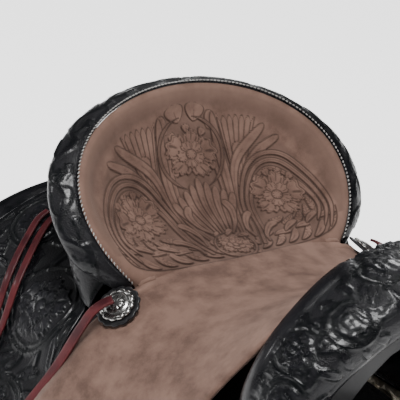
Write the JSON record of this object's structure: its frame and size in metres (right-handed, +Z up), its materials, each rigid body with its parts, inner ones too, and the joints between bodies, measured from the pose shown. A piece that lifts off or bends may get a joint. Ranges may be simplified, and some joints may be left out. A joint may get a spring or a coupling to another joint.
{
  "type": "western saddle",
  "caption": "Western saddle: tooled round seat and cantle, fork and horn, skirts with fleece, rigging plates, swinging fenders and turning stirrups.",
  "frame": {"origin": "crown of the horse's back under the lowest part of the seat, on the saddle's middle plane", "axes": "+X towards the horse's head, +Y to the horse's left, +Z up"},
  "size_m": [0.6457, 0.7486, 1.0104],
  "materials": {
    "brown_roughout": "brown rough-out suede with tooled flowers",
    "black_tooled_leather": "black, floral tooling, semi-gloss",
    "black_leather": "black, smooth, satin",
    "burgundy_leather": "burgundy latigo strings",
    "silver_metal": "silver, engraved scallops",
    "stainless_steel": "stainless steel",
    "tree_wood": "wood",
    "cream_fleece": "cream wool fleece"
  },
  "bodies": {
    "saddle": {"cantle_back": "black_leather", "cantle_roll": "black_tooled_leather", "cantle_string_front_left": "burgundy_leather", "cantle_string_front_right": "burgundy_leather", "cantle_string_rear_left": "burgundy_leather", "cantle_string_rear_right": "burgundy_leather", "fork_cover": "black_tooled_leather", "front_concho_left": "silver_metal", "front_concho_right": "silver_metal", "front_jockey_left": "black_tooled_leather", "front_jockey_right": "black_tooled_leather", "front_rigging_plate_left": "stainless_steel", "front_rigging_plate_right": "stainless_steel", "front_rosette_left": "black_leather", "front_rosette_right": "black_leather", "ground_seat": "stainless_steel", "horn_cap": "black_tooled_leather", "horn_core": "stainless_steel", "horn_wrap": "black_leather", "rear_concho_left": "silver_metal", "rear_concho_right": "silver_metal", "rear_jockey_left": "black_tooled_leather", "rear_jockey_right": "black_tooled_leather", "rear_rigging_plate_left": "stainless_steel", "rear_rigging_plate_right": "stainless_steel", "rear_rosette_left": "black_leather", "rear_rosette_right": "black_leather", "seat_concho_left": "silver_metal", "seat_concho_right": "silver_metal", "seat_cover": "brown_roughout", "seat_rosette_left": "black_leather", "seat_rosette_right": "black_leather", "seat_string_left": "burgundy_leather", "seat_string_right": "burgundy_leather", "skirt_fleece_left": "cream_fleece", "skirt_fleece_right": "cream_fleece", "skirt_left": "black_tooled_leather", "skirt_right": "black_tooled_leather", "tree_bar_left": "tree_wood", "tree_bar_right": "tree_wood", "tree_cantle": "tree_wood", "tree_fork": "tree_wood"},
    "fender_left": {"fender_left": "black_tooled_leather", "stirrup_leather_left": "black_leather", "hobble_strap_left": "black_leather", "stirrup_bolt_left": "stainless_steel"},
    "stirrup_left": {"stirrup_left": "black_tooled_leather", "stirrup_tread_left": "black_leather"},
    "flank_billet_left": {"flank_billet_left": "black_leather"},
    "breast_collar_dee_left": {"breast_collar_dee_left": "stainless_steel"},
    "fender_right": {"fender_right": "black_tooled_leather", "stirrup_leather_right": "black_leather", "hobble_strap_right": "black_leather", "stirrup_bolt_right": "stainless_steel"},
    "stirrup_right": {"stirrup_right": "black_tooled_leather", "stirrup_tread_right": "black_leather"},
    "flank_billet_right": {"flank_billet_right": "black_leather"},
    "breast_collar_dee_right": {"breast_collar_dee_right": "stainless_steel"},
    "latigo_left": {"latigo_left": "black_leather"},
    "off_billet_right": {"off_billet_right": "black_leather"}
  },
  "joints": [
    {"name": "fender_left_swing", "type": "hinge", "parent": "saddle", "child": "fender_left", "pos_m": [0.06, 0.2769, -0.1542], "axis": [0, -1, 0], "range_deg": [-13, 17]},
    {"name": "stirrup_left_turn", "type": "hinge", "parent": "fender_left", "child": "stirrup_left", "pos_m": [0.06, 0.33382, -0.585], "axis": [1, 0, 0], "range_deg": [-45, 45]},
    {"name": "flank_billet_left_swing", "type": "hinge", "parent": "saddle", "child": "flank_billet_left", "pos_m": [-0.19, 0.3107, -0.2442], "axis": [1, 0, 0], "range_deg": [0, 14]},
    {"name": "breast_collar_dee_left_swing", "type": "hinge", "parent": "saddle", "child": "breast_collar_dee_left", "pos_m": [0.3002, 0.2704, -0.1341], "axis": [-0.1485, -0.4638, 0.8734], "range_deg": [0, 60]},
    {"name": "fender_right_swing", "type": "hinge", "parent": "saddle", "child": "fender_right", "pos_m": [0.06, -0.2769, -0.1542], "axis": [0, -1, 0], "range_deg": [-13, 17]},
    {"name": "stirrup_right_turn", "type": "hinge", "parent": "fender_right", "child": "stirrup_right", "pos_m": [0.06, -0.33382, -0.585], "axis": [1, 0, 0], "range_deg": [-45, 45]},
    {"name": "flank_billet_right_swing", "type": "hinge", "parent": "saddle", "child": "flank_billet_right", "pos_m": [-0.19, -0.3107, -0.2442], "axis": [-1, 0, 0], "range_deg": [0, 14]},
    {"name": "breast_collar_dee_right_swing", "type": "hinge", "parent": "saddle", "child": "breast_collar_dee_right", "pos_m": [0.3002, -0.2704, -0.1341], "axis": [0.1485, -0.4638, -0.8734], "range_deg": [0, 60]},
    {"name": "latigo_left_swing", "type": "hinge", "parent": "saddle", "child": "latigo_left", "pos_m": [0.205, 0.3107, -0.2428], "axis": [-1, 0, 0], "range_deg": [-14, 0]},
    {"name": "off_billet_right_swing", "type": "hinge", "parent": "saddle", "child": "off_billet_right", "pos_m": [0.205, -0.3107, -0.2428], "axis": [1, 0, 0], "range_deg": [-14, 0]}
  ]
}
